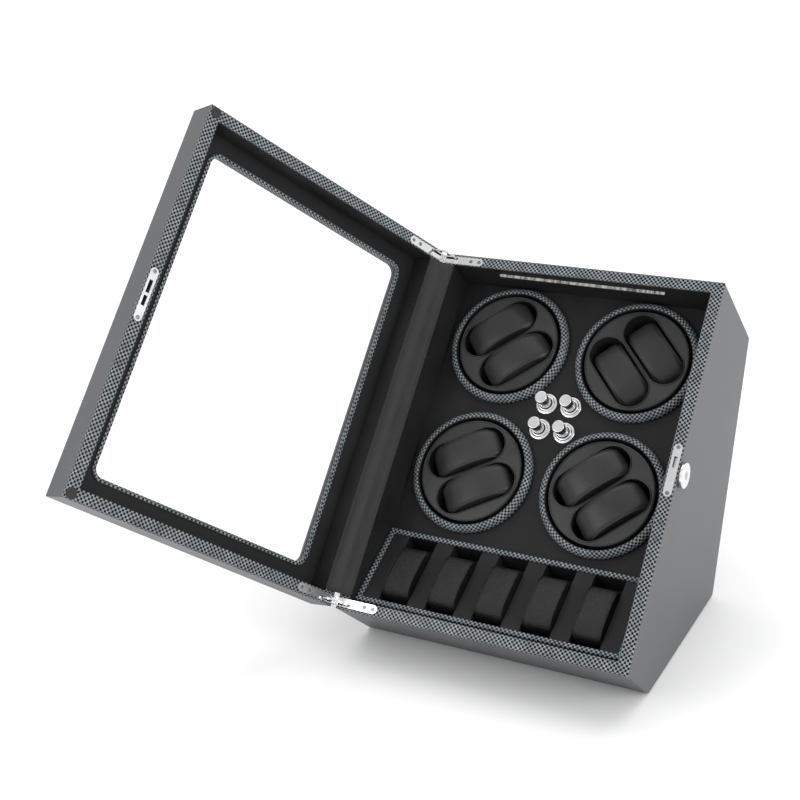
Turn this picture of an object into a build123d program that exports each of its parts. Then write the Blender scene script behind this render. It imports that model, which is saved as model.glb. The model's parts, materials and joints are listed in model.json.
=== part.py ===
from build123d import *
import math
import os

# A watch winder box for eight watches in four rotors and five on a lower tray.
# Row frame: X to the right as seen from the front, Y to the back, Z up, origin at the middle of the underside.
# Front frame: x from the left edge of the sloping front, u up the front from its lower edge, n out of it.
# All parts are drawn in the front frame and placed when they are saved. Millimetres and degrees.

# Case
WIDTH = 320
FRONT_LENGTH = 413          # sloping front face, lower edge to top edge
TOP_DEPTH = 138.5           # square to the front face at its top edge
LOWER_DEPTH = 83            # square to the front face at its lower edge
BASE_DEPTH = 210.4
FRONT_TILT = 47.35          # front face above horizontal
WALL = 10
LINING = 2.2
INNER = WALL + LINING       # clear inside faces of the mouth
CORNER_R = 4
EDGE_R = 1.2
PAD = 1.5
RIM_T = 2
RIM_LOW = 12
PANEL_N = -48               # face of the rotor panel
PANEL_T = 4

# Rotors
ROTOR_X = (85.7, 234.3)
ROTOR_U = (330.6, 181.2)
ROTOR_ANGLES = (41, 134, 31, 43)       # long axis of the wells, rotors 1 to 4
BEZEL_R = 68.1
BEZEL_BORE = 59.4
BEZEL_H = 9.5
CUP_R = 56.6
CUP_FACE_N = -39.5
CUP_DEPTH = 45
CUP_SKIN = 2.4
CUP_FACE_T = 3
TUB_WALL = 1.4
WELL_R = 19.5
WELL_REACH = 25             # middle of the well to the centre of its round end
WELL_OFFSET = 21.5
WELL_DEPTH = 42
PILLOW_W = 34
PILLOW_HALF = 39
PILLOW_HALF_H = 20
PILLOW_PROUD = 9.3          # crown above the face of the cup
PILLOW_CLEAR = 0.8          # to the round ends of the well
PILLOW_LOW = -8             # the second rotor's pillows sit this much deeper
HUB_R = 20
SHAFT_R = 3

# Selector knobs
KNOB_DX = 14
KNOB_DU = 14.7
KNOB_R = 6.8
KNOB_TOP_N = -26
ESCUTCHEON_R = 11.9
ESCUTCHEON_H = 3.4
SPINDLE_R = 2.5

# Lower tray: its own plane leans in from the front face
TRAY_U = 14.6
TRAY_N = -11.5
TRAY_LEAN = 20.8
TRAY_LENGTH = 95.4
TRAY_SIDE = 12.5
BEAD = 6
BEAD_H = 2.2
WELLS = 5
WELL_W = 33
WELL_PITCH = 53
TRAY_DEPTH = 22
TRAY_PILLOW_W = 31
TRAY_PILLOW_HALF = 31
TRAY_PILLOW_HALF_H = 16.5
TRAY_PILLOW_END_R = 14
TRAY_PILLOW_T = 43.5
TRAY_PILLOW_M = -4.8

# Door
DOOR_OPEN = 115.4
DOOR_GAP = 0.9
DOOR_DEPTH = 36.9
DOOR_RIM = 12.6
FACE_T = 7
FACE_W = 31.5               # border round the pane
PANE_CORNER_R = 11
PANE_T = 3
PANE_LAP = 5
HINGE_X = -2.7
HINGE_N = 1.2
HINGE_INSET = 7.2           # from the ends of the front
LEAF_END = 46.7
LEAF_W = 9
LEAF_T = 1.4
LEAF_PROUD = 0.2
BARREL_R = 2.2
PIN_R = 1.0
FIT = 0.05
STAY_R = 16
STAY_W = 2
STAY_T = 1.6
STAY_SHIFT = 2
STAY_HIDDEN = 12            # angle of the stay inside each leaf when the door is open
SCREW_XS = (32.2, 42.2)
OUTER_BARRELS = ((-LEAF_W / 2, -1.6), (1.6, LEAF_W / 2))
INNER_BARREL = ((-1.4, 1.4),)

# Lock
LOCK_U = 206.6
LOCK_X = 314.2
PLATE_W = 9
PLATE_L = 55.5
PLATE_SCREWS = 48.3
SCREW_R = 2.2
SCREW_SEAT = 0.9            # depth of a screw's seat in a plate
PLUG_N = -12.5
PLUG_R = 4.5
FINGER = 6
BOLT_THROW = 2 * FINGER * math.sin(math.radians(45))
BOLT_U0 = 209.6
BOLT_U1 = 220.4
BOLT_BACK = -23
BOLT_TIP = -3.4

# Gusset between case and door
GUSSET_LOW = 14.5
GUSSET_HIGH = 398.5
GUSSET_T = 1

# Back of the case: service cover and DC inlet, in the back board's plane
SERVICE_W = 200
SERVICE_H = 150
SERVICE_LOW = 55
COVER_LAP = 7
COVER_T = 2
INLET_X = -78
INLET_Y = 75
INLET_R = 5.5

TILT = math.radians(FRONT_TILT)
BASE_BACK_U = BASE_DEPTH * math.cos(TILT)
BASE_BACK_N = -LOWER_DEPTH - BASE_DEPTH * math.sin(TILT)
FRONT = Plane(
    origin=(-WIDTH / 2, -BASE_DEPTH / 2 - LOWER_DEPTH * math.sin(TILT), PAD + LOWER_DEPTH * math.cos(TILT)),
    x_dir=(1, 0, 0),
    z_dir=(0, -math.sin(TILT), math.cos(TILT)),
)
HINGE_AXIS = Axis((HINGE_X, 0, HINGE_N), (0, 1, 0))
DOOR_BACK = DOOR_GAP                   # the door's inner face and outer face when it is shut
DOOR_FRONT = DOOR_GAP + DOOR_DEPTH
HINGE_US = (HINGE_INSET, FRONT_LENGTH - HINGE_INSET)
ROTORS = [(x, u) for u in ROTOR_U for x in ROTOR_X]
MIDDLE = (WIDTH / 2, sum(ROTOR_U) / 2)
KNOBS = [(MIDDLE[0] + i * KNOB_DX, MIDDLE[1] + j * KNOB_DU) for j in (1, -1) for i in (-1, 1)]

# The outline of the case from the side, as (u, n), from the top front corner round to the lower front corner.
OUTLINE = [
    (FRONT_LENGTH, -RIM_T),
    (FRONT_LENGTH, -TOP_DEPTH),
    (BASE_BACK_U, BASE_BACK_N),
    (0, -LOWER_DEPTH),
    (0, -RIM_T),
]


def block(x0, x1, u0, u1, n0, n1):
    """A box between two corners."""
    return Pos((x0 + x1) / 2, (u0 + u1) / 2, (n0 + n1) / 2) * Box(x1 - x0, u1 - u0, n1 - n0)


def prism(points, x0, x1):
    """A side-view outline drawn out from x0 to x1."""
    return extrude(Plane.YZ.offset(x0) * Polygon(*points, align=None), amount=x1 - x0, dir=(1, 0, 0))


def disc(x, u, radius, n0, n1):
    """A round piece square to the front."""
    return Pos(x, u, (n0 + n1) / 2) * Cylinder(radius, n1 - n0)


def slot(x, u, length, width, n0, n1, angle=0):
    """A round-ended bar square to the front, its long side turned from x by an angle."""
    return Pos(x, u, n0) * Rot(0, 0, angle) * extrude(SlotOverall(length, width), amount=n1 - n0)


def frame_ring(outer, inner, n0, n1, corner_r=0):
    """A flat rectangular ring. outer and inner are (x0, x1, u0, u1)."""
    hole = block(*inner, n0 - 1, n1 + 1)
    if corner_r:
        hole = fillet(hole.edges().filter_by(Axis.Z), corner_r)
    return block(*outer, n0, n1) - hole


def inner_corner(before, corner, after, wall):
    """Where the inside faces of two walls meet."""
    along = (Vector(*before) - Vector(*corner)).normalized()
    other = (Vector(*after) - Vector(*corner)).normalized()
    half_turn = math.radians(along.get_angle(other)) / 2
    point = Vector(*corner) + (along + other).normalized() * (wall / math.sin(half_turn))
    return (point.X, point.Y)


def opened(part):
    """The door's pieces are drawn shut and swung open about the hinge."""
    return part.rotate(HINGE_AXIS, -DOOR_OPEN)


def save(name, *solids):
    """Places the solids in the row frame and writes them as one node."""
    placed = [FRONT * solid for solid in solids]
    shape = placed[0] if len(placed) == 1 else Compound(children=placed)
    export_step(shape, "parts/" + name + ".step")


def stay_pockets(n0, n1):
    """The slots that the hinge stays run in, between two heights."""
    pockets = []
    for u, side in zip(HINGE_US, (-1, 1)):
        centre = u + side * STAY_SHIFT
        half = STAY_T / 2 + 0.5
        pockets.append(block(1, HINGE_X + STAY_R + STAY_W / 2 + 0.8, centre - half, centre + half, n0, n1))
    return pockets


def lock_mortise(n0, n1, grow=0.0):
    """The space of the lock case in the right-hand wall."""
    return block(WIDTH - WALL - grow, WIDTH - 2.4 + grow, LOCK_U - 23 - grow, LOCK_U + 23 + grow, n0, n1)


def case_boards():
    """The wrapped boards of the case."""
    rounded = fillet(Polygon(*OUTLINE, align=None).vertices().sort_by(Axis.Y)[:3], CORNER_R)
    whole = extrude(Plane.YZ * rounded, amount=WIDTH, dir=(1, 0, 0))
    left = extrude(Plane.YZ * rounded, amount=WALL, dir=(1, 0, 0))
    left = fillet(left.faces().sort_by(Axis.X)[0].edges(), EDGE_R)
    right = extrude(Plane.YZ.offset(WIDTH - WALL) * rounded, amount=WALL, dir=(1, 0, 0))
    right = fillet(right.faces().sort_by(Axis.X)[-1].edges(), EDGE_R)
    right -= lock_mortise(-27, 0, 0.2)
    right -= Pos(WIDTH, LOCK_U, PLUG_N) * Rot(0, 90, 0) * Cylinder(PLUG_R + 1, 2 * WALL)
    corners = [
        inner_corner(OUTLINE[i - 1], OUTLINE[i], OUTLINE[i + 1], WALL) for i in (1, 2, 3)
    ]
    inside = [(FRONT_LENGTH - WALL, -RIM_T), *corners, (WALL, -RIM_T)]
    boards = []
    for i in range(4):
        quad = [OUTLINE[i], OUTLINE[i + 1], inside[i + 1], inside[i]]
        boards.append(prism(quad, WALL, WIDTH - WALL) & whole)
    top, back, base, lower = boards
    for pocket in stay_pockets(-17, 0):
        left -= pocket
        top -= pocket
        lower -= pocket
    back -= REAR * block(-SERVICE_W / 2, SERVICE_W / 2, SERVICE_LOW, SERVICE_LOW + SERVICE_H, -2 * WALL, 1)
    save("side_panel_left", left)
    save("side_panel_right", right)
    save("top_panel", top)
    save("back_panel", back)
    save("base_panel", base)
    save("lower_front_panel", lower)
    pad_in = 6
    pad = [
        (BASE_BACK_U * k / BASE_DEPTH, -LOWER_DEPTH + (BASE_BACK_N + LOWER_DEPTH) * k / BASE_DEPTH)
        for k in (pad_in, BASE_DEPTH - pad_in)
    ]
    down = (-math.sin(TILT) * PAD, -math.cos(TILT) * PAD)
    under = [(u + down[0], n + down[1]) for u, n in reversed(pad)]
    save("base_pad", prism(pad + under, pad_in, WIDTH - pad_in))


# The back board's own plane: x to the left edge, y up the board from its lower edge, z out of the back.
BACK_UP = (Vector(FRONT_LENGTH, -TOP_DEPTH) - Vector(BASE_BACK_U, BASE_BACK_N)).normalized()
REAR = Plane(
    origin=(WIDTH / 2, BASE_BACK_U, BASE_BACK_N), x_dir=(-1, 0, 0), z_dir=(0, -BACK_UP.Y, BACK_UP.X)
)
if REAR.z_dir.Z > 0:
    REAR = Plane(origin=REAR.origin, x_dir=(-1, 0, 0), z_dir=(0, BACK_UP.Y, -BACK_UP.X))

def back_fittings():
    """The service cover, its screws and the DC inlet."""
    x1 = SERVICE_W / 2 + COVER_LAP
    y0 = SERVICE_LOW - COVER_LAP
    y1 = SERVICE_LOW + SERVICE_H + COVER_LAP
    cover = block(-x1, x1, y0, y1, 0, COVER_T)
    cover = fillet(cover.edges().filter_by(Axis.Z), 6)
    cover -= Pos(INLET_X, INLET_Y, 0) * Cylinder(INLET_R + FIT, 4 * COVER_T)
    screws = []
    for x in (-x1 + 4.5, x1 - 4.5):
        for y in (y0 + 4.5, y1 - 4.5):
            cover -= Pos(x, y, 0) * Cylinder(1.6, 4 * COVER_T)
            screws.append(REAR * (Pos(x, y, COVER_T) * screw_head(2.8)))
    jack = Pos(INLET_X, INLET_Y, 0) * (
        Pos(0, 0, -5) * Cylinder(INLET_R, 14) + Pos(0, 0, COVER_T + 0.75) * Cylinder(7, 1.5)
    )
    jack -= Pos(INLET_X, INLET_Y, 0) * Cylinder(2.8, 20)
    jack += Pos(INLET_X, INLET_Y, -11) * Cylinder(INLET_R, 2)
    jack += Pos(INLET_X, INLET_Y, -5) * Cylinder(1, 13)
    save("rear_cover", REAR * cover)
    save("dc_jack", REAR * jack)
    return screws


def screw_head(radius):
    """A domed cross-head with a short shank, its seat at z = 0."""
    head = Cylinder(radius, 1, align=(Align.CENTER, Align.CENTER, Align.MIN))
    head = fillet(head.edges().sort_by(Axis.Z)[-1], 0.6)
    for angle in (0, 90):
        head -= Rot(0, 0, angle) * Pos(0, 0, 1) * Box(1.3 * radius, 0.5, 1)
    return head


def front_rim():
    """The carbon trim round the mouth, let in for the hinge leaves, the lock plate and the folded gusset."""
    inner = (INNER, WIDTH - INNER, RIM_LOW, FRONT_LENGTH - INNER)
    rim = frame_ring((0, WIDTH, 0, FRONT_LENGTH), inner, -RIM_T, 0)
    rim = fillet(rim.faces().sort_by(Axis.Z)[-1].outer_wire().edges(), 0.8)
    rim -= block(2, INNER + 1, GUSSET_LOW, GUSSET_HIGH, -0.8, 1)
    for u in HINGE_US:
        rim -= slot(LEAF_END / 2 - 10, u, LEAF_END + 20.4, LEAF_W + 0.4, LEAF_PROUD - LEAF_T - 0.05, 1)
    for pocket in stay_pockets(-RIM_T - 1, 1):
        rim -= pocket
    rim -= slot(LOCK_X, LOCK_U, PLATE_L + 0.4, PLATE_W + 0.4, -1.25, 1, 90)
    rim -= block(LOCK_X - 2, LOCK_X + 2, BOLT_U0 - 0.6, BOLT_U1 + 0.6, -3, 1)
    save("front_rim", rim)


def cavity_lining():
    """The thin wrapped liners on the left, right and top walls."""
    top_u = FRONT_LENGTH - WALL
    left = block(WALL, INNER, WALL, top_u, PANEL_N, -RIM_T)
    right = block(WIDTH - INNER, WIDTH - WALL, WALL, top_u, PANEL_N, -RIM_T)
    top = block(INNER, WIDTH - INNER, top_u - LINING, top_u, PANEL_N, -RIM_T)
    save("cavity_lining", left, right, top)


def light_bar():
    """The LED bar under the top wall: a channel and its lens."""
    ceiling = FRONT_LENGTH - INNER
    channel = block(65, 255, ceiling - 2.2, ceiling, -20.5, -13)
    channel -= block(66, 254, ceiling - 3, ceiling - 0.8, -19.6, -13.9)
    lens = block(66.2, 253.8, ceiling - 2.4, ceiling - 0.8, -19.4, -14.1)
    save("led_strip", channel, fillet(lens.faces().sort_by(Axis.Y)[0].edges(), 0.5))


def rotor_panel():
    """The board that the bezels and knobs stand on."""
    low_u, low_n = tray_point(TRAY_LENGTH + 0.6, 0)
    panel = block(WALL, WIDTH - WALL, low_u, FRONT_LENGTH - WALL, PANEL_N - PANEL_T, PANEL_N)
    for x, u in ROTORS:
        panel -= disc(x, u, BEZEL_BORE, PANEL_N - 2 * PANEL_T, PANEL_N + 1)
    for x, u in KNOBS:
        panel -= disc(x, u, SPINDLE_R + 0.8, PANEL_N - 2 * PANEL_T, PANEL_N + 1)
    save("rotor_panel", panel)
    section = Pos((BEZEL_R + BEZEL_BORE) / 2, BEZEL_H / 2) * Rectangle(BEZEL_R - BEZEL_BORE, BEZEL_H)
    section = fillet(section.vertices().group_by(Axis.Y)[-1], 4.1)
    bezel = revolve(Plane.XZ * section, Axis.Z)
    save("ring_bezels", *[Pos(x, u, PANEL_N) * bezel for x, u in ROTORS])


def well(side, reach, radius, n0, n1):
    """A round-ended well beside the middle of a rotor, its long side along x."""
    return slot(0, side * WELL_OFFSET, 2 * (reach + radius), 2 * radius, n0, n1)


def rotor_cup():
    """A cup about the origin, its face at n = 0, as face plate, skirt and two round-ended tubs."""
    face = disc(0, 0, CUP_R, -CUP_FACE_T, 0)
    skirt = disc(0, 0, CUP_R, -CUP_DEPTH, -CUP_FACE_T) - disc(0, 0, CUP_R - CUP_SKIN, -CUP_DEPTH - 1, 0)
    pieces = [skirt]
    for side in (-1, 1):
        face -= well(side, WELL_REACH, WELL_R, -WELL_DEPTH, 1)
        tub = well(side, WELL_REACH, WELL_R + TUB_WALL, -CUP_DEPTH, -CUP_FACE_T)
        pieces.append(tub - well(side, WELL_REACH, WELL_R, -WELL_DEPTH, 1))
    return [face, *pieces]


def drive_hub():
    """The hub behind a cup and its shaft to the motor."""
    hub = disc(0, 0, HUB_R, -CUP_DEPTH - 4, -CUP_DEPTH)
    hub += disc(0, 0, 8, -CUP_DEPTH - 12, -CUP_DEPTH - 4)
    return hub + disc(0, 0, SHAFT_R, -CUP_DEPTH - 32, -CUP_DEPTH - 12)


def rotor_pillow():
    """A plain solid of one rotor pillow, its crown at n = 0 and its length along x."""
    section = Plane.XZ.offset(-PILLOW_W / 2) * Ellipse(PILLOW_HALF, PILLOW_HALF_H)
    pillow = Pos(0, 0, -PILLOW_HALF_H) * extrude(section, amount=PILLOW_W, dir=(0, -1, 0))
    pillow = fillet(pillow.edges(), 3)
    reach = WELL_REACH + WELL_R - PILLOW_CLEAR
    return pillow & slot(0, 0, 2 * reach, 2 * (WELL_R - PILLOW_CLEAR), -3 * PILLOW_HALF_H, 1)


def rotors():
    """Four rotors with two pillows each, and the motors that turn them."""
    for i, ((x, u), angle) in enumerate(zip(ROTORS, ROTOR_ANGLES), start=1):
        seat = Pos(x, u, CUP_FACE_N) * Rot(0, 0, angle)
        save(f"rotor_{i}", *[seat * piece for piece in (*rotor_cup(), drive_hub())])
        drop = PILLOW_LOW if i == 2 else 0
        for name, side in (("a", 1), ("b", -1)):
            pillow = Pos(0, side * WELL_OFFSET, PILLOW_PROUD + drop) * rotor_pillow()
            save(f"rotor_pillow_{i}{name}", seat * pillow)
    front = CUP_FACE_N - CUP_DEPTH - 14
    plate = block(WALL, WIDTH - WALL, 120, 394, front, front + 2.5)
    motor = disc(0, 0, 18, front - 24, front) - disc(0, 0, SHAFT_R + FIT, front - 20, front + 1)
    motor += disc(0, 0, 13, front - 38, front - 24)
    for x, u in ROTORS:
        plate -= disc(x, u, 11, front - 1, front + 4)
    save("motor_plate", plate)
    save("gear_motors", *[Pos(x, u, 0) * motor for x, u in ROTORS])


def knobs():
    """Four selector knobs, their escutcheons and the control board with its switches."""
    seat = PANEL_N + ESCUTCHEON_H
    plates = []
    switches = []
    for i, (x, u) in enumerate(KNOBS, start=1):
        knob = disc(0, 0, KNOB_R - 0.4, seat + 0.4, KNOB_TOP_N - 3)
        cap = disc(0, 0, KNOB_R, KNOB_TOP_N - 3, KNOB_TOP_N)
        knob += fillet(cap.edges().sort_by(Axis.Z)[-1], 0.9)
        knob += disc(0, 0, SPINDLE_R, PANEL_N - 15, seat + 0.4)
        save(f"knob_{i}", Pos(x, u, 0) * knob)
        plate = disc(0, 0, ESCUTCHEON_R, PANEL_N, seat)
        plate = fillet(plate.edges().sort_by(Axis.Z)[-1], 1.6)
        plate -= disc(0, 0, 9, seat - 1.2, seat + 1) - disc(0, 0, 7.6, seat - 1.2, seat + 1)
        plates.append(Pos(x, u, 0) * (plate - disc(0, 0, SPINDLE_R + FIT, PANEL_N - 1, seat + 1)))
        switch = block(-7, 7, -7, 7, PANEL_N - 16.5, PANEL_N - PANEL_T - 0.5)
        switches.append(Pos(x, u, 0) * (switch - disc(0, 0, SPINDLE_R + FIT, PANEL_N - 16, PANEL_N)))
    board = block(MIDDLE[0] - 30, MIDDLE[0] + 30, MIDDLE[1] - 28, MIDDLE[1] + 28, PANEL_N - 18.1, PANEL_N - 16.5)
    save("knob_escutcheons", *plates)
    save("control_board", board, *switches)


TRAY = Plane(
    origin=(0, TRAY_U, TRAY_N),
    x_dir=(1, 0, 0),
    z_dir=(0, math.sin(math.radians(TRAY_LEAN)), math.cos(math.radians(TRAY_LEAN))),
)
WELL_XS = [WIDTH / 2 + (i - (WELLS - 1) / 2) * WELL_PITCH for i in range(WELLS)]


def tray_point(along, above):
    """(u, n) of a point given along the tray and above its plane."""
    point = TRAY.from_local_coords(Vector(0, along, above))
    return point.Y, point.Z


def tray():
    """The lower tray: bead, dividers, floor and five pillows."""
    x0 = TRAY_SIDE
    x1 = WIDTH - TRAY_SIDE
    rim = frame_ring((x0, x1, 0, TRAY_LENGTH), (x0 + BEAD, x1 - BEAD, BEAD, TRAY_LENGTH - BEAD), 0, BEAD_H)
    rim = fillet(rim.faces().sort_by(Axis.Z)[-1].edges(), 1.9)
    save("tray_rim", TRAY * rim)
    room = block(x0, x1, INNER, FRONT_LENGTH, -200, 50)
    edges = [x0] + [x + side * WELL_W / 2 for x in WELL_XS for side in (-1, 1)] + [x1]
    pieces = [
        block(edges[i], edges[i + 1], BEAD, TRAY_LENGTH - BEAD, -TRAY_DEPTH, 0) for i in range(0, len(edges), 2)
    ]
    pieces.append(block(x0, x1, 0, BEAD, -TRAY_DEPTH, 0))
    pieces.append(block(x0, x1, TRAY_LENGTH - BEAD, TRAY_LENGTH, -TRAY_DEPTH, 0))
    pieces.append(block(x0, x1, 0, TRAY_LENGTH, -TRAY_DEPTH - 2.5, -TRAY_DEPTH))
    save("tray_insert", *[(TRAY * piece) & room for piece in pieces])
    outline = RectangleRounded(2 * TRAY_PILLOW_HALF, 2 * TRAY_PILLOW_HALF_H, TRAY_PILLOW_END_R)
    section = Plane.YZ.offset(-TRAY_PILLOW_W / 2) * outline
    pillow = extrude(section, amount=TRAY_PILLOW_W, dir=(1, 0, 0))
    pillow = Pos(0, TRAY_PILLOW_T, TRAY_PILLOW_M) * fillet(pillow.edges(), 2.5)
    for i, x in enumerate(WELL_XS, start=1):
        save(f"tray_pillow_{i}", TRAY * (Pos(x, 0, 0) * pillow))


def lock():
    """The box lock in the right-hand wall, and the strike plate on the door."""
    plate = slot(LOCK_X, LOCK_U, PLATE_L, PLATE_W, -1.2, 0.2, 90)
    plate -= block(LOCK_X - 1.8, LOCK_X + 1.8, BOLT_U0 - 0.5, BOLT_U1 + 0.5, -2, 1)
    for side in (-1, 1):
        plate -= disc(LOCK_X, LOCK_U + side * PLATE_SCREWS / 2, SCREW_R, LEAF_PROUD - SCREW_SEAT, 1)
    save("lock_plate", plate)
    case = lock_mortise(-26, -RIM_T)
    case -= block(WIDTH - WALL + 1.2, WIDTH - 3.6, LOCK_U - 21.8, LOCK_U + 21.8, -24.8, -RIM_T - 1.2)
    case -= block(LOCK_X - 1.8, LOCK_X + 1.8, BOLT_U0 - 0.3, BOLT_U1 + 0.3, -5, 0)
    case -= along_x(PLUG_R + FIT, WIDTH - 5, WIDTH)
    save("lock_case", case)
    notch_n = PLUG_N - BOLT_THROW / 2
    bolt = block(LOCK_X - 1.5, LOCK_X + 1.5, BOLT_U0, BOLT_U1, BOLT_BACK, BOLT_TIP)
    bolt -= block(LOCK_X - 2, LOCK_X + 2, BOLT_U0 - 1, BOLT_U0 + 3.6, notch_n - 2.9, notch_n + 2.9)
    save("lock_bolt", bolt)
    shield = along_x(13.3, WIDTH + 2.2, WIDTH + 5.2)
    shield = fillet(shield.edges().sort_by(Axis.X)[-1], 1.4)
    shield += along_x(9.5, WIDTH, WIDTH + 2.2)
    save("lock_escutcheon", shield - along_x(PLUG_R + FIT, WIDTH - 1, WIDTH + 6))
    plug = along_x(PLUG_R, LOCK_X + 1.5, WIDTH + 5.4)
    plug -= block(WIDTH + 3, WIDTH + 6, LOCK_U - 3, LOCK_U + 3, PLUG_N - 0.6, PLUG_N + 0.6)
    plug += along_x(2.4, LOCK_X - 1.4, LOCK_X + 1.5)
    finger = Pos(LOCK_X, LOCK_U, PLUG_N) * Rot(-45, 0, 0) * block(-1.4, 1.4, 0, FINGER, -1, 1)
    save("lock_cylinder", plug + finger)


def along_x(radius, x0, x1):
    """A round piece on the lock's axis."""
    return Pos((x0 + x1) / 2, LOCK_U, PLUG_N) * Rot(0, 90, 0) * Cylinder(radius, x1 - x0)


def leaf(n0, n1, seat, barrel_us, clear_us):
    """A hinge leaf about u = 0: barrels, room for the other leaf's barrels, and screw seats between two heights."""
    plate = slot(LEAF_END / 2 - 5, 0, LEAF_END + 10, LEAF_W, n0, n1)
    plate -= block(-20, -0.2, -LEAF_W, LEAF_W, -3, 5)
    for u0, u1 in barrel_us:
        plate += block(HINGE_X, 0, u0, u1, n0, n1)
        plate += barrel(BARREL_R, u0, u1)
    for u0, u1 in clear_us:
        plate -= barrel(BARREL_R + 0.3, u0 - 0.15, u1 + 0.15)
    plate -= barrel(PIN_R + FIT, -LEAF_W, LEAF_W)
    for x in SCREW_XS:
        plate -= disc(x, 0, SCREW_R, *seat)
    return plate


def barrel(radius, u0, u1):
    """A round piece on the hinge axis."""
    return Pos(HINGE_X, (u0 + u1) / 2, HINGE_N) * Rot(90, 0, 0) * Cylinder(radius, u1 - u0)


def hinges():
    """Two box hinges with pins and curved stays."""
    case_n = (LEAF_PROUD - LEAF_T, LEAF_PROUD)
    door_n = (DOOR_BACK - LEAF_PROUD, DOOR_BACK - LEAF_PROUD + LEAF_T)
    pocket_case = stay_pockets(-4, 2)
    pocket_door = stay_pockets(-1, 6)
    case_seat = (case_n[1] - SCREW_SEAT, case_n[1] + 1)
    door_seat = (door_n[0] - 1, door_n[0] + SCREW_SEAT)
    case_leaf = leaf(*case_n, case_seat, OUTER_BARRELS, INNER_BARREL)
    door_leaf = leaf(*door_n, door_seat, INNER_BARREL, OUTER_BARRELS)
    save("hinge_leaves_case", *[Pos(0, u, 0) * case_leaf - pocket_case[i] for i, u in enumerate(HINGE_US)])
    save("hinge_leaves_door", *[opened(Pos(0, u, 0) * door_leaf - pocket_door[i]) for i, u in enumerate(HINGE_US)])
    save("hinge_pins", *[Pos(0, u, 0) * barrel(PIN_R, -LEAF_W / 2 - 0.4, LEAF_W / 2 + 0.4) for u in HINGE_US])
    sweep_angle = DOOR_OPEN + 2 * STAY_HIDDEN
    section = Plane.XY * (Pos(STAY_R, 0) * Rectangle(STAY_W, STAY_T))
    arc = revolve(section, Axis.Y, revolution_arc=sweep_angle)
    arc = Rot(0, -DOOR_OPEN - STAY_HIDDEN, 0) * arc
    stays = [
        Pos(HINGE_X, u + side * STAY_SHIFT, HINGE_N) * arc for u, side in zip(HINGE_US, (-1, 1))
    ]
    save("hinge_stays", *stays)


def screws(cover_screws):
    """The screws of the hinges, the lock and the rear cover."""
    head = screw_head(SCREW_R)
    case_heads = [Pos(x, u, LEAF_PROUD - SCREW_SEAT) * head for u in HINGE_US for x in SCREW_XS]
    door_heads = [
        Pos(x, u, DOOR_BACK - LEAF_PROUD + SCREW_SEAT) * Rot(180, 0, 0) * head for u in HINGE_US for x in SCREW_XS
    ]
    for side in (-1, 1):
        u = LOCK_U + side * PLATE_SCREWS / 2
        case_heads.append(Pos(LOCK_X, u, LEAF_PROUD - SCREW_SEAT) * head)
        door_heads.append(Pos(LOCK_X, u, DOOR_BACK - LEAF_PROUD + SCREW_SEAT) * Rot(180, 0, 0) * head)
    save("case_screws", *case_heads, *cover_screws)
    save("door_screws", *[opened(piece) for piece in door_heads])


def gusset():
    """The leather strip between the inner edges of the case and the open door."""
    swing = math.radians(DOOR_OPEN)
    dx = INNER + 0.4 - HINGE_X
    dn = DOOR_BACK - 0.4 - HINGE_N
    start = (INNER + 0.4, 0.4)
    end = (
        HINGE_X + dx * math.cos(swing) - dn * math.sin(swing),
        HINGE_N + dx * math.sin(swing) + dn * math.cos(swing),
    )
    line = Vector(end[0] - start[0], end[1] - start[1]).normalized()
    out = (line.Y, -line.X)
    shift = (GUSSET_T * out[0], GUSSET_T * out[1])
    corners = [start, end, (end[0] + shift[0], end[1] + shift[1]), (start[0] + shift[0], start[1] + shift[1])]
    face = Plane.XZ.offset(-GUSSET_LOW) * Polygon(*corners, align=None)
    save("hinge_gusset", extrude(face, amount=GUSSET_HIGH - GUSSET_LOW, dir=(0, 1, 0)))


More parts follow.
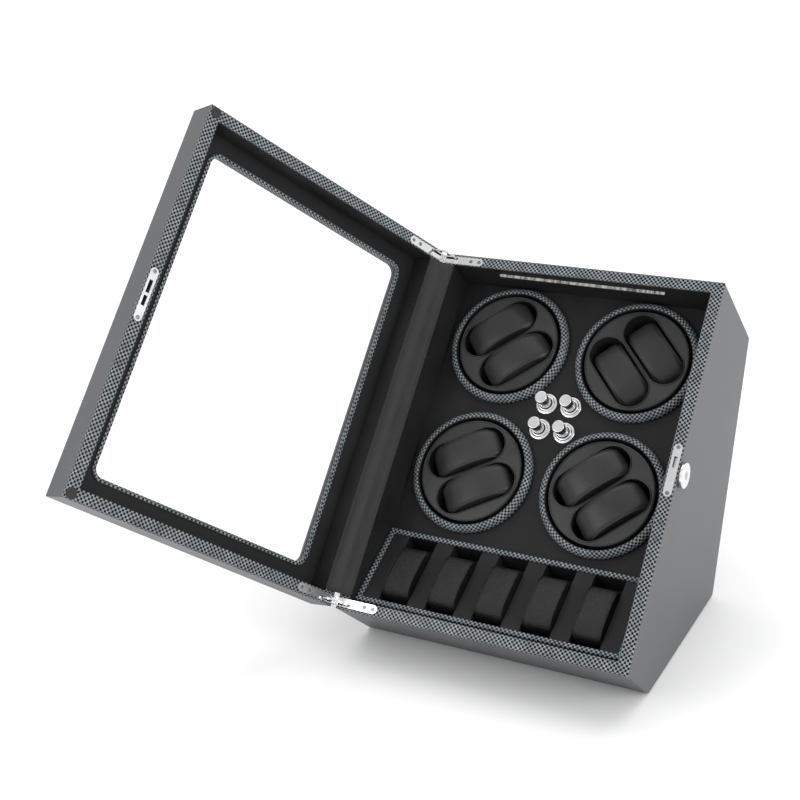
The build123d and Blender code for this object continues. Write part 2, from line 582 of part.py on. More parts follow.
def door():
    """The door: boxed frame, carbon rim, lining, pane, bead, bumpers and strike plate."""
    outer = (0, WIDTH, 0, FRONT_LENGTH)
    rim_inner = (DOOR_RIM, WIDTH - DOOR_RIM, DOOR_RIM, FRONT_LENGTH - DOOR_RIM)
    rim = frame_ring(outer, rim_inner, DOOR_BACK, DOOR_BACK + RIM_T)
    rim = fillet(rim.faces().sort_by(Axis.Z)[0].outer_wire().edges(), 0.8)
    rim -= block(2, DOOR_RIM + 1, GUSSET_LOW, GUSSET_HIGH, DOOR_BACK - 1, DOOR_BACK + 0.8)
    rim -= slot(LOCK_X, LOCK_U, PLATE_L + 0.4, PLATE_W + 0.4, DOOR_BACK - 1, DOOR_BACK + 1.25, 90)
    for u in HINGE_US:
        n1 = DOOR_BACK - LEAF_PROUD + LEAF_T + 0.05
        rim -= slot(LEAF_END / 2 - 10, u, LEAF_END + 20.4, LEAF_W + 0.4, DOOR_BACK - 1, n1)
    strike_slots = [
        block(LOCK_X - 1.9, LOCK_X + 1.9, u0, u1, DOOR_BACK - 1, DOOR_BACK + 9)
        for u0, u1 in ((BOLT_U0 - 1.2, BOLT_U1 + 1.2), (195, 205.4))
    ]
    for cut in stay_pockets(DOOR_BACK - 2, DOOR_BACK + 5) + strike_slots:
        rim -= cut
    face_n = DOOR_FRONT - FACE_T
    wall_n = DOOR_BACK + RIM_T
    walls = []
    left = block(0, WALL, 0, FRONT_LENGTH, wall_n, face_n)
    right = block(WIDTH - WALL, WIDTH, 0, FRONT_LENGTH, wall_n, face_n)
    low = block(WALL, WIDTH - WALL, 0, WALL, wall_n, face_n)
    high = block(WALL, WIDTH - WALL, FRONT_LENGTH - WALL, FRONT_LENGTH, wall_n, face_n)
    for wall in (left, right, low, high):
        for cut in stay_pockets(wall_n - 2, wall_n + 16) + strike_slots:
            wall -= cut
        walls.append(wall)
    opening = (FACE_W, WIDTH - FACE_W, FACE_W + 1, FRONT_LENGTH - FACE_W - 1)
    face = frame_ring(outer, opening, face_n, DOOR_FRONT, PANE_CORNER_R)
    face = fillet(face.faces().sort_by(Axis.Z)[-1].outer_wire().edges(), 1.5)
    pane_box = (opening[0] - PANE_LAP, opening[1] + PANE_LAP, opening[2] - PANE_LAP, opening[3] + PANE_LAP)
    pane = block(*pane_box, face_n, face_n + PANE_T)
    pane = fillet(pane.edges().filter_by(Axis.Z), PANE_CORNER_R + PANE_LAP)
    face -= pane
    middle = (opening[0], opening[1])
    strips = [
        block(0, opening[0], 0, FRONT_LENGTH, face_n, DOOR_FRONT),
        block(opening[1], WIDTH, 0, FRONT_LENGTH, face_n, DOOR_FRONT),
        block(*middle, 0, opening[2] + PANE_CORNER_R, face_n, DOOR_FRONT),
        block(*middle, opening[3] - PANE_CORNER_R, FRONT_LENGTH, face_n, DOOR_FRONT),
    ]
    save("door_frame", *[opened(piece) for piece in (*walls, *[face & strip for strip in strips])])
    save("door_glass", opened(pane))
    save("door_rim", opened(rim))
    liner = DOOR_RIM - WALL
    x1 = WIDTH - WALL
    u1 = FRONT_LENGTH - WALL
    skin_n = face_n - 2
    liners = [
        block(WALL, WALL + liner, WALL, u1, wall_n, face_n),
        block(x1 - liner, x1, WALL, u1, wall_n, face_n),
        block(WALL + liner, x1 - liner, WALL, WALL + liner, wall_n, face_n),
        block(WALL + liner, x1 - liner, u1 - liner, u1, wall_n, face_n),
        frame_ring(rim_inner, opening, skin_n, face_n, PANE_CORNER_R),
    ]
    save("door_lining", *[opened(piece) for piece in liners])
    inside = (opening[0] + 1.2, opening[1] - 1.2, opening[2] + 1.2, opening[3] - 1.2)
    outside = (opening[0] - 2.6, opening[1] + 2.6, opening[2] - 2.6, opening[3] + 2.6)
    bead = block(*outside, skin_n - 1.6, skin_n)
    bead = fillet(bead.edges().filter_by(Axis.Z), PANE_CORNER_R + 2.6)
    hole = block(*inside, skin_n - 3, face_n + 1)
    hole = fillet(hole.edges().filter_by(Axis.Z), PANE_CORNER_R - 1.2)
    sleeve = block(*opening, skin_n, face_n)
    sleeve = fillet(sleeve.edges().filter_by(Axis.Z), PANE_CORNER_R)
    save("glass_trim", opened(bead + sleeve - hole))
    bumper = Cylinder(5.6, 0.6) - Pos(0, 0, -0.3) * Cylinder(3.6, 0.3)
    places = [(WIDTH - 6.6, 6.3), (WIDTH - 6.6, FRONT_LENGTH - 6.3)]
    save("door_bumpers", *[opened(Pos(x, u, DOOR_BACK - 0.3) * bumper) for x, u in places])
    strike = slot(LOCK_X, LOCK_U, PLATE_L, PLATE_W, DOOR_BACK - 0.2, DOOR_BACK + 1.2, 90)
    for cut in strike_slots:
        strike -= cut
    for side in (-1, 1):
        u = LOCK_U + side * PLATE_SCREWS / 2
        strike -= disc(LOCK_X, u, SCREW_R, DOOR_BACK - 1, DOOR_BACK - LEAF_PROUD + SCREW_SEAT)
    save("strike_plate", opened(strike))


os.makedirs("parts", exist_ok=True)
case_boards()
front_rim()
cavity_lining()
light_bar()
rotor_panel()
rotors()
knobs()
tray()
lock()
hinges()
screws(back_fittings())
gusset()
door()
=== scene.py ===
import json
import math

import bmesh
import bpy
from mathutils import Matrix, Vector, noise


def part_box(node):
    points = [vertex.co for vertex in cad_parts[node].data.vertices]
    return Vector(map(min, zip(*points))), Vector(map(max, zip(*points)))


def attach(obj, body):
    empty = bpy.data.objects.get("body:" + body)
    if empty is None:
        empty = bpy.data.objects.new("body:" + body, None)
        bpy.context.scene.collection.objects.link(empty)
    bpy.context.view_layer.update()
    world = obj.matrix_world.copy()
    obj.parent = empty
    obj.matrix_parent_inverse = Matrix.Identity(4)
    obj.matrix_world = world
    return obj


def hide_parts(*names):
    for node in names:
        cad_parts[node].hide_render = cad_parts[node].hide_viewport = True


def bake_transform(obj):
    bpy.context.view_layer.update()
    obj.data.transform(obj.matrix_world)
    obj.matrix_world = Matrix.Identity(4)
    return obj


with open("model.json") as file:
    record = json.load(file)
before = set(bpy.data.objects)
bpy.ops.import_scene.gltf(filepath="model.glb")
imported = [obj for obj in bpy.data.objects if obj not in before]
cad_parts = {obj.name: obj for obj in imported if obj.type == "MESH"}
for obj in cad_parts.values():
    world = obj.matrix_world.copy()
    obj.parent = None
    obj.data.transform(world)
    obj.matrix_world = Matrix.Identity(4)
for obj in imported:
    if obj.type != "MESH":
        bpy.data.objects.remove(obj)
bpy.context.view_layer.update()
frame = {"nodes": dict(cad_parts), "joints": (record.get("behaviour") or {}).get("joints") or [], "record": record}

# The box's own directions: X across the sloping front, U up it, N out of it. Sizes in metres.
MM = 0.001
JOINTS = {joint["name"]: joint for joint in frame["joints"]}
X = Vector((1, 0, 0))
U = Vector(JOINTS["door_swing"]["axis"]).normalized()
N = Vector(JOINTS["rotor_1_spin"]["axis"]).normalized()
HINGE = Vector(JOINTS["door_swing"]["pos_m"])
HINGE_X, HINGE_U, HINGE_N = -2.7 * MM, 206.5 * MM, 1.2 * MM
CORNER = HINGE - X * HINGE_X - U * HINGE_U - N * HINGE_N
OPEN = math.radians(JOINTS["door_swing"]["range_deg"][1])
LEAN = math.radians(20.8)

# Rotors: the turn of the wells, and the sizes of bezel, cup, wells and pillow
ROTOR_ANGLES = [math.radians(a) for a in (41, 134, 31, 43)]
BEZEL_R, BEZEL_BORE, BEZEL_H = 68.1 * MM, 59.4 * MM, 9.5 * MM
PANEL_N = -48 * MM
CUP_N = -39.5 * MM
CUP_R = 56.6 * MM
WELL_R, WELL_REACH, WELL_OFFSET = 19.5 * MM, 25 * MM, 21.5 * MM
PILLOW_W, PILLOW_HALF, PILLOW_HALF_H = 33.6 * MM, 38.5 * MM, 19.8 * MM
TRAY_PILLOW_W, TRAY_PILLOW_HALF, TRAY_PILLOW_HALF_H = 30.6 * MM, 30.8 * MM, 16.3 * MM
PILLOW_DRAW, PILLOW_SQUARE = 3.9 * MM, 2.3
TRAY_DRAW, TRAY_SQUARE = 0.8 * MM, 3.2

# Films and trim: the side of a carbon cell, the spacing of the leatherette's lines, the light bar's lens
CHECK = 2.4 * MM
LINES = 2.2 * MM
LENS_N = -15.2 * MM
TRAY_U, TRAY_N, TRAY_BEAD = 14.6 * MM, -11.5 * MM, 1.1 * MM

# Gusset: where it starts and ends up the front, how far in its edges lie, its thickness and turned-in edge
GUSSET_LOW, GUSSET_HIGH = 14.7 * MM, 398.3 * MM
GUSSET_INSET, GUSSET_N = 13.2 * MM, 0.45 * MM
GUSSET_THICK, GUSSET_FLAP = 0.5 * MM, 2.6 * MM


def at(x, u, n):
    """A point given across, up and out of the front, in the object's own frame."""
    return CORNER + X * x + U * u + N * n


def basis(x_dir, y_dir, z_dir, origin):
    """The matrix that places a local frame."""
    m = Matrix((x_dir, y_dir, z_dir)).transposed().to_4x4()
    m.translation = origin
    return m


FRONT = basis(X, U, N, CORNER)
DOOR = Matrix.Translation(HINGE) @ Matrix.Rotation(-OPEN, 4, U) @ Matrix.Translation(-HINGE) @ FRONT
TRAY = FRONT @ Matrix.Translation((0, TRAY_U, TRAY_N)) @ Matrix.Rotation(-LEAN, 4, "X")


# ---------------------------------------------------------------- materials

class Nodes:
    """A Principled material with short calls for its nodes."""

    def __init__(self, name, color, roughness, metallic=0.0, **sockets):
        self.material = bpy.data.materials.new(name)
        self.material.use_nodes = True
        self.tree = self.material.node_tree
        self.shader = self.tree.nodes["Principled BSDF"]
        self.set(self.shader, {"Base Color": (*color, 1), "Roughness": roughness, "Metallic": metallic})
        self.set(self.shader, sockets)
        self.material.diffuse_color = (*color, 1)

    def set(self, node, values):
        for socket, value in values.items():
            node.inputs[socket].default_value = value

    def add(self, kind, links=None, values=None, **settings):
        node = self.tree.nodes.new(kind)
        for key, value in settings.items():
            setattr(node, key, value)
        self.set(node, values or {})
        for socket, source in (links or {}).items():
            self.tree.links.new(source, node.inputs[socket])
        return node

    def coords(self, rotation=(0, 0, 0), location=(0, 0, 0), uv=False):
        """Object coordinates turned into the piece's own directions, or its UV map in metres."""
        source = self.add("ShaderNodeTexCoord").outputs["UV" if uv else "Object"]
        values = {"Rotation": rotation, "Location": location}
        return self.add("ShaderNodeMapping", {"Vector": source}, values).outputs["Vector"]

    def noise(self, vector, scale, detail=3.0, roughness=0.5):
        values = {"Scale": scale, "Detail": detail, "Roughness": roughness}
        return self.add("ShaderNodeTexNoise", {"Vector": vector}, values).outputs["Fac"]

    def math(self, operation, a, b=None, clamp=False):
        node = self.add("ShaderNodeMath", operation=operation, use_clamp=clamp)
        for socket, value in zip(node.inputs, (a, b)):
            if value is None:
                continue
            if isinstance(value, (int, float)):
                socket.default_value = value
            else:
                self.tree.links.new(value, socket)
        return node.outputs[0]

    def ramp(self, source, *stops):
        node = self.add("ShaderNodeValToRGB", {"Fac": source})
        elements = node.color_ramp.elements
        while len(elements) < len(stops):
            elements.new(0.5)
        for element, (place, value) in zip(elements, stops):
            element.position = place
            element.color = (*value, 1) if isinstance(value, tuple) else (value, value, value, 1)
        return node.outputs["Color"]

    def link(self, source, socket):
        self.tree.links.new(source, self.shader.inputs[socket])

    def bump(self, height, strength, distance):
        values = {"Strength": strength, "Distance": distance}
        node = self.add("ShaderNodeBump", {"Height": height}, values)
        self.link(node.outputs["Normal"], "Normal")


def carbon(name, frame_of=None, uv=False):
    """Glossy carbon-look film: pale tows in a checker on black, in line with the piece's own directions.

    frame_of is the matrix of the surface it lies on, so that its plane runs through the middle of a cell.
    """
    gloss = {"Coat Weight": 0.12, "Coat Roughness": 0.1, "Specular IOR Level": 0.15}
    n = Nodes(name, (0.12, 0.14, 0.16), 0.34, **gloss)
    rotation, location = (0, 0, 0), (0, 0, 0)
    if frame_of:
        back = frame_of.inverted()
        rotation = back.to_euler()
        location = back.translation + Vector((CHECK / 2, CHECK / 2, CHECK / 2))
    vector = n.coords(rotation, location, uv)
    cell = n.add("ShaderNodeTexChecker", {"Vector": vector}, {"Scale": 1 / CHECK}).outputs["Fac"]
    patch = n.noise(vector, 90, 2)
    fine = n.noise(vector, 1400, 2)
    light = n.ramp(patch, (0.3, (0.17, 0.19, 0.205)), (0.7, (0.29, 0.32, 0.335)))
    dark = n.ramp(fine, (0.35, (0.001, 0.0012, 0.0015)), (0.7, (0.003, 0.0034, 0.004)))
    mix = n.add("ShaderNodeMixRGB", {"Fac": cell, "Color1": dark, "Color2": light})
    n.link(mix.outputs["Color"], "Base Color")
    n.link(n.ramp(cell, (0.0, 0.5), (1.0, 0.24)), "Roughness")
    n.bump(n.math("ADD", cell, n.math("MULTIPLY", fine, 0.5)), 0.2, 0.0002)
    return n.material


def leatherette(name, frame_of):
    """Satin film embossed with fine diagonal lines, with faint handling wear."""
    n = Nodes(name, (0.055, 0.057, 0.062), 0.42, **{"Specular IOR Level": 0.35})
    vector = n.coords(frame_of.inverted().to_euler())
    values = {"Scale": 1 / LINES / 3.2, "Distortion": 0.3, "Detail": 1.0, "Detail Scale": 2.0}
    line = n.add("ShaderNodeTexWave", {"Vector": vector}, values, bands_direction="DIAGONAL").outputs["Fac"]
    broad = n.noise(vector, 7, 3)
    fine = n.noise(vector, 900, 2)
    tone = n.math("ADD", n.math("MULTIPLY", line, 0.42), n.math("MULTIPLY", broad, 0.45))
    tone = n.math("ADD", tone, n.math("MULTIPLY", fine, 0.2), clamp=True)
    n.link(n.ramp(tone, (0.15, (0.020, 0.022, 0.025)), (0.9, (0.140, 0.147, 0.157))), "Base Color")
    n.link(n.ramp(broad, (0.3, 0.36), (0.75, 0.46)), "Roughness")
    n.bump(n.math("ADD", line, n.math("MULTIPLY", fine, 0.6)), 0.3, 0.00012)
    return n.material


def leather(name, low, high, roughness, grain, depth, sheen=0.0, gloss=0.3):
    """Grained leather: pebbles, pores and a slow change of tone."""
    surface = {"Sheen Weight": sheen, "Sheen Roughness": 0.4, "Specular IOR Level": gloss}
    n = Nodes(name, high, roughness, **surface)
    vector = n.coords()
    pebble = n.add("ShaderNodeTexVoronoi", {"Vector": vector}, {"Scale": 1 / grain}).outputs["Distance"]
    pores = n.noise(vector, 2.2 / grain, 3)
    broad = n.noise(vector, 22, 3)
    tone = n.math("ADD", n.math("MULTIPLY", broad, 0.7), n.math("MULTIPLY", pores, 0.3))
    n.link(n.ramp(tone, (0.3, low), (0.72, high)), "Base Color")
    n.link(n.ramp(broad, (0.3, roughness - 0.06), (0.7, roughness + 0.08)), "Roughness")
    n.bump(n.math("ADD", n.math("MULTIPLY", pebble, 1.2), pores), 0.45, depth)
    return n.material


def moulded(name, color, roughness, scale=700, depth=0.00005):
    """Moulded plastic or rubber with a fine spark-eroded texture and faint scuffs."""
    n = Nodes(name, color, roughness)
    vector = n.coords()
    fine = n.noise(vector, scale, 2)
    broad = n.noise(vector, 30, 4)
    low = tuple(0.75 * c for c in color)
    high = tuple(min(1.0, 1.3 * c + 0.002) for c in color)
    n.link(n.ramp(broad, (0.3, low), (0.75, high)), "Base Color")
    n.link(n.ramp(broad, (0.3, roughness - 0.05), (0.75, roughness + 0.08)), "Roughness")
    n.bump(fine, 0.35, depth)
    return n.material


def light_bar(name):
    """A black housing with a silvery lens along its front edge, the light chips showing as small dashes."""
    n = Nodes(name, (0.5, 0.5, 0.5), 0.35)
    back = FRONT.inverted()
    vector = n.coords(back.to_euler(), back.translation)
    height = n.add("ShaderNodeSeparateXYZ", {"Vector": vector}).outputs["Z"]
    lens = n.math("GREATER_THAN", height, LENS_N)
    chips = n.add("ShaderNodeMapping", {"Vector": vector}, {"Scale": (1, 0.15, 0.15)}).outputs["Vector"]
    dash = n.noise(chips, 300, 2, 0.7)
    fine = n.noise(vector, 1500, 2)
    tone = n.math("ADD", n.math("MULTIPLY", dash, 0.75), n.math("MULTIPLY", fine, 0.25))
    light = n.ramp(tone, (0.40, (0.12, 0.115, 0.11)), (0.56, (0.72, 0.70, 0.66)))
    mix = n.add("ShaderNodeMixRGB", {"Fac": lens, "Color2": light}, {"Color1": (0.01, 0.01, 0.01, 1)})
    n.link(mix.outputs["Color"], "Base Color")
    n.bump(dash, 0.4, 0.0002)
    return n.material


def metal(name, color, roughness, grain=0.0):
    """Plated or brushed metal: faint polishing marks and smudges."""
    n = Nodes(name, color, roughness, 1.0)
    vector = n.coords()
    smudge = n.noise(vector, 60, 4)
    stretched = n.add("ShaderNodeMapping", {"Vector": vector}, {"Scale": (1, 12, 12)}).outputs["Vector"]
    lines = n.noise(stretched, 300, 2)
    n.link(n.ramp(smudge, (0.35, tuple(0.9 * c for c in color)), (0.7, color)), "Base Color")
    n.link(n.ramp(smudge, (0.3, roughness), (0.8, roughness + 0.1)), "Roughness")
    n.bump(lines, 0.03 + grain, 0.00002)
    return n.material


def clear_glass(name):
    """A clear thin pane: mostly see-through, with a faint reflection and a trace of dust."""
    n = Nodes(name, (0.97, 0.985, 0.98), 0.02, **{"Transmission Weight": 1.0, "IOR": 1.02})
    dust = n.noise(n.coords(), 45, 4)
    n.link(n.ramp(dust, (0.35, 0.05), (0.8, 0.09)), "Alpha")
    n.material.surface_render_method = "BLENDED"
    return n.material


def grey(value, blue=0.0005):
    """A nearly neutral grey with a trace of blue."""
    return value, value, value + blue


MATERIALS = {
    "leatherette": leatherette("leatherette", FRONT),
    "leatherette_door": leatherette("leatherette_door", DOOR),
    "carbon_trim": carbon("carbon_film", FRONT),
    "carbon_door": carbon("carbon_film_door", DOOR),
    "carbon_tray": carbon("carbon_film_tray", TRAY @ Matrix.Translation((0, 0, TRAY_BEAD))),
    "carbon_uv": carbon("carbon_film_wrapped", uv=True),
    "lining": leather("lining_leather", grey(0.010), grey(0.020, 0.001), 0.6, 1.1 * MM, 0.00008, 0.0, 0.2),
    "pillow_leather": leather("pillow_leather", grey(0.020), grey(0.036, 0.001), 0.36, 1.3 * MM, 0.00006),
    "tray_leather": leather("tray_pillow_leather", grey(0.006), grey(0.014, 0.001), 0.34, 1.6 * MM, 0.0009),
    "gusset_leather": leather("gusset_leather", grey(0.016), grey(0.028, 0.001), 0.52, 1.0 * MM, 0.00008),
    "rotor_plastic": moulded("rotor_plastic", (0.019, 0.0194, 0.020), 0.32),
    "rotor_lip": moulded("rotor_lip", (0.012, 0.0124, 0.013), 0.2),
    "chrome": metal("chrome", (0.80, 0.80, 0.81), 0.14),
    "screw_steel": metal("screw_steel", (0.30, 0.30, 0.31), 0.25, 0.1),
    "steel": metal("steel", (0.62, 0.62, 0.63), 0.3, 0.15),
    "silver_plastic": light_bar("silver_plastic"),
    "black_plastic": moulded("black_plastic", (0.012, 0.012, 0.013), 0.45, 900, 0.0001),
    "clear_pane": clear_glass("clear_pane"),
    "rubber": moulded("rubber", (0.012, 0.012, 0.012), 0.6, 800),
    "felt": leather("felt", grey(0.010, 0.001), grey(0.022, 0.002), 0.9, 0.5 * MM, 0.0003, 0.4),
    "board_green": moulded("board_green", (0.02, 0.12, 0.05), 0.35, 400),
}


def paint(piece, material):
    """Makes a material the only one of a piece."""
    piece.data.materials.clear()
    piece.data.materials.append(material)


# ---------------------------------------------------------------- making pieces

def new_piece(name, verts, faces, material, body, smooth=True, uvs=None):
    """A mesh piece in the object's own frame, riding on a body if one is named."""
    mesh = bpy.data.meshes.new(name)
    mesh.from_pydata([tuple(v) for v in verts], [], faces)
    mesh.validate()
    if uvs:
        layer = mesh.uv_layers.new(name="UVMap")
        for loop, uv in zip(layer.data, uvs):
            loop.uv = uv
    for polygon in mesh.polygons:
        polygon.use_smooth = smooth
    piece = bpy.data.objects.new(name, mesh)
    bpy.context.scene.collection.objects.link(piece)
    fix = bmesh.new()
    fix.from_mesh(mesh)
    bmesh.ops.recalc_face_normals(fix, faces=fix.faces)
    fix.to_mesh(mesh)
    fix.free()
    paint(piece, MATERIALS[material])
    if body:
        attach(piece, body)
    return piece


def loft(name, rings, material, body, caps=True, wrap=False, uv_scale=None):
    """A skin over closed rings of points, each ring with the same number of points.

    caps close its two ends and wrap joins the last ring to the first. uv_scale is a face's size in metres.
    """
    count = len(rings[0])
    verts = [p for ring in rings for p in ring]
    faces = []
    uvs = []
    spans = len(rings) if wrap else len(rings) - 1
    for i in range(spans):
        for j in range(count):
            a = i * count + j
            b = i * count + (j + 1) % count
            c = ((i + 1) % len(rings)) * count + (j + 1) % count
            d = ((i + 1) % len(rings)) * count + j
            faces.append((a, b, c, d))
            if uv_scale:
                su, sv = uv_scale
                near, far = i * su, (i + 1) * su
                uvs += [(near, j * sv), (near, (j + 1) * sv), (far, (j + 1) * sv), (far, j * sv)]
    if caps and not wrap:
        faces.append(tuple(range(count)))
        faces.append(tuple(len(verts) - count + j for j in range(count)))
    return new_piece(name, verts, faces, material, body, uvs=uvs or None)


# ---------------------------------------------------------------- bezels and rotors

def lathe(name, place, profile, segments, material, body, uv_scale=None):
    """A ring turned from a closed profile of (radius, height) points about place's z axis."""
    rings = []
    for i in range(segments):
        turn = 2 * math.pi * i / segments
        rings.append([place @ Vector((r * math.cos(turn), r * math.sin(turn), h)) for r, h in profile])
    return loft(name, rings, material, body, caps=False, wrap=True, uv_scale=uv_scale)


def ring_bezel(index, place):
    """A carbon-wrapped bead round a rotor, the weave running round it, with a black liner in its bore."""
    mean_r = (BEZEL_R + BEZEL_BORE) / 2
    crown = mean_r - 0.14 * (BEZEL_R - BEZEL_BORE)
    reach = BEZEL_R - crown
    shoulder = BEZEL_H - reach
    sweep, steps, segments = math.radians(105), 9, 144
    section = [(BEZEL_R, 0.0)]
    for k in range(steps + 1):
        turn = sweep * k / steps
        section.append((crown + reach * math.cos(turn), shoulder + reach * math.sin(turn)))
    edge_r, edge_h = section[-1]
    section.append((edge_r, 0.0))
    cells = round(2 * math.pi * mean_r / (2 * CHECK)) * 2
    uv_scale = (cells * CHECK / segments, sweep * reach / steps)
    bezel = lathe(f"bezel_{index}", place, section, segments, "carbon_uv", "case", uv_scale)

    outer, top = edge_r + 0.2 * MM, edge_h - 0.15 * MM
    wall = [
        (outer, 0.0), (outer, top - 0.2 * MM),
        (outer - 0.25 * MM, top), (outer - 0.7 * MM, top + 0.05 * MM),
        (BEZEL_BORE + 0.9 * MM, top - 1.5 * MM), (BEZEL_BORE + 0.2 * MM, top - 2.6 * MM),
        (BEZEL_BORE, top - 3.4 * MM), (BEZEL_BORE, 0.0),
    ]
    lathe(f"bezel_liner_{index}", place, wall, segments, "rotor_lip", "case")
    return bezel


def bead(name, path, radius, material, body, up=N, sides=10, squash=1.0):
    """A rounded bead laid along a closed flat path."""
    rings = []
    count = len(path)
    turns = [2 * math.pi * k / sides for k in range(sides)]
    rise = up * squash
    for i, point in enumerate(path):
        along = (path[(i + 1) % count] - path[i - 1]).normalized()
        side = along.cross(up).normalized()
        rings.append([point + radius * (side * math.cos(turn) + rise * math.sin(turn)) for turn in turns])
    return loft(name, rings, material, body, wrap=True)


def collars():
    """The stepped chrome collars round the four knobs."""
    flange = [(11.9, 0.0), (11.9, 0.7), (11.6, 1.3), (11.0, 1.6), (10.2, 1.7), (9.6, 1.55)]
    collar_step = [(9.3, 1.7), (9.0, 2.6), (8.6, 3.1), (8.0, 3.35), (7.4, 3.4), (7.0, 3.2), (7.0, 0.0)]
    profile = [(r * MM, h * MM) for r, h in flange + collar_step]
    for index in range(1, 5):
        axis = FRONT.inverted() @ Vector(JOINTS[f"knob_{index}_turn"]["pos_m"])
        place = FRONT @ Matrix.Translation((axis.x, axis.y, PANEL_N))
        collar = lathe(f"knob_collar_{index}", place, profile, 64, "chrome", "case")
        if index == 1:
            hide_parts("knob_escutcheons")


def stadium(reach, radius, steps=20):
    """A round-ended outline about the origin, its long side along x."""
    points = []
    for side, start in ((1, -math.pi / 2), (-1, math.pi / 2)):
        for k in range(steps + 1):
            turn = start + math.pi * k / steps
            points.append((side * reach + radius * math.cos(turn), radius * math.sin(turn)))
    return points


def rotor_lips(index, place):
    """The raised lips of a cup's two wells and of its rim."""
    body = f"rotor_{index}"
    lip = 0.7 * MM
    outline = stadium(WELL_REACH, WELL_R + lip)
    for name, side in (("a", 1), ("b", -1)):
        path = [place @ Vector((x, y + side * WELL_OFFSET, 0.2 * MM)) for x, y in outline]
        bead(f"well_lip_{index}{name}", path, lip, "rotor_lip", body, squash=1.2)
    rim, count = CUP_R - 1.0 * MM, 120
    turns = [2 * math.pi * k / count for k in range(count)]
    path = [place @ Vector((math.cos(turn) * rim, math.sin(turn) * rim, 0.1 * MM)) for turn in turns]
    bead(f"cup_rim_{index}", path, lip, "rotor_lip", body)


def round_power(turn, power):
    """(cosine, sine) of a superellipse: 2 is round, more is squarer."""
    c, s = math.cos(turn), math.sin(turn)
    return math.copysign(abs(c) ** (2 / power), c), math.copysign(abs(s) ** (2 / power), s)


def pillow(node, place, sizes, ends_in, power, material, seed):
    """A stuffed watch pillow in a node's place: crowned band, piped seams and soft side panels.

    place puts x along its length, y across it and z out of its crown. sizes is half its length, its width
    and half its height. ends_in is how far the ends draw in at the sides, to suit a round-ended well, and
    power is how square its roll is.
    """
    half, width, half_h = sizes
    around, steps = 72, 22
    seam, edge, shoulder = 0.9 * MM, 1.7 * MM, 0.8
    wave_depth, crease_depth = 0.45 * MM, 0.18 * MM
    rows = []
    for i in range(steps + 1):
        s = -1 + 2 * i / steps
        y = s * (width / 2 - seam)
        lift = 1 - 0.03 * abs(s) ** 2.6
        inset = 0.55 * edge * (max(0.0, abs(s) - shoulder) / (1 - shoulder)) ** 2
        rows.append((y, half - ends_in * abs(s) ** 8 - inset * 0.6, half_h * lift - inset))
    y_end, l_end, h_end = rows[-1]
    piping = []
    for k in range(1, 8):
        turn = math.pi * k / 8
        grow = 0.75 * MM * math.sin(turn) - 0.35 * MM * k / 8
        piping.append((y_end + seam * (1 - math.cos(turn)) * 0.55, l_end + grow, h_end + grow))
    side = []
    y_side = piping[-1][0]
    for k in range(1, 9):
        f = 1 - k / 8.6
        y = y_side - 0.35 * MM * math.sin(math.pi * (1 - f)) - 0.2 * MM + 0.5 * MM * (1 - f * f)
        side.append((y, (l_end - 0.7 * MM) * f, (h_end - 0.7 * MM) * f))
    right = piping + side
    left = [(-y, a, b) for y, a, b in reversed(right)]
    profile = left + rows + right
    rings = []
    for y, a, b in profile:
        ring = []
        for k in range(around):
            turn = 2 * math.pi * k / around
            c, s = round_power(turn, power)
            point = Vector((a * c, y, b * s))
            wave = noise.noise(Vector((seed * 7.3 + 38 * point.x, 42 * point.y, 38 * point.z)))
            crease = noise.noise(Vector((seed * 3.1 + 160 * point.x, 60 * point.y, 160 * point.z)))
            shift = (wave_depth * wave + crease_depth * crease) * min(1.0, 1.2 * (a / half) ** 2)
            ring.append(place @ (point + Vector((c * shift, 0, s * shift - shift))))
        rings.append(ring)
    piece = loft(f"{node}_cushion", rings, material, node)
    smooth = piece.modifiers.new("smooth", "SUBSURF")
    smooth.render_levels = smooth.levels = 1
    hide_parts(node)


def welts(node, place, sizes, ends_in, power, material):
    """The welt that runs round both edges of a pillow."""
    half, width, half_h = sizes
    long, high, count = half - ends_in - 0.9 * MM, 0.97 * half_h - 1.2 * MM, 96
    across = (place.to_3x3() @ Vector((0, 1, 0))).normalized()
    for tag, side in (("l", -1), ("r", 1)):
        path = []
        for k in range(count):
            c, s = round_power(2 * math.pi * k / count, power)
            path.append(place @ Vector((long * c, side * (width / 2 - 0.5 * MM), high * s)))
        bead(f"{node}_seam_welt_{tag}", path, 0.6 * MM, material, node, up=across, sides=8)


def middle(node):
    """The middle of a node's box at rest."""
    low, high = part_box(node)
    return (Vector(low) + Vector(high)) / 2


def rotors():
    """Four bezels, the lips of four cups and their eight pillows."""
    for index in range(1, 5):
        joint = JOINTS[f"rotor_{index}_spin"]
        centre = Vector(joint["pos_m"])
        x = X * math.cos(ROTOR_ANGLES[index - 1]) + U * math.sin(ROTOR_ANGLES[index - 1])
        y = N.cross(x)
        bezel = ring_bezel(index, basis(X, U, N, centre + N * (PANEL_N - CUP_N)))
        if index == 1:
            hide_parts("ring_bezels")
        rotor_lips(index, basis(x, y, N, centre))
        for name, side in (("a", 1), ("b", -1)):
            node = f"rotor_pillow_{index}{name}"
            place = basis(x, y, N, middle(node))
            sizes = (PILLOW_HALF, PILLOW_W, PILLOW_HALF_H)
            pillow(node, place, sizes, PILLOW_DRAW, PILLOW_SQUARE, "pillow_leather", index * 2 + side)
            welts(node, place, sizes, PILLOW_DRAW, PILLOW_SQUARE, "pillow_leather")


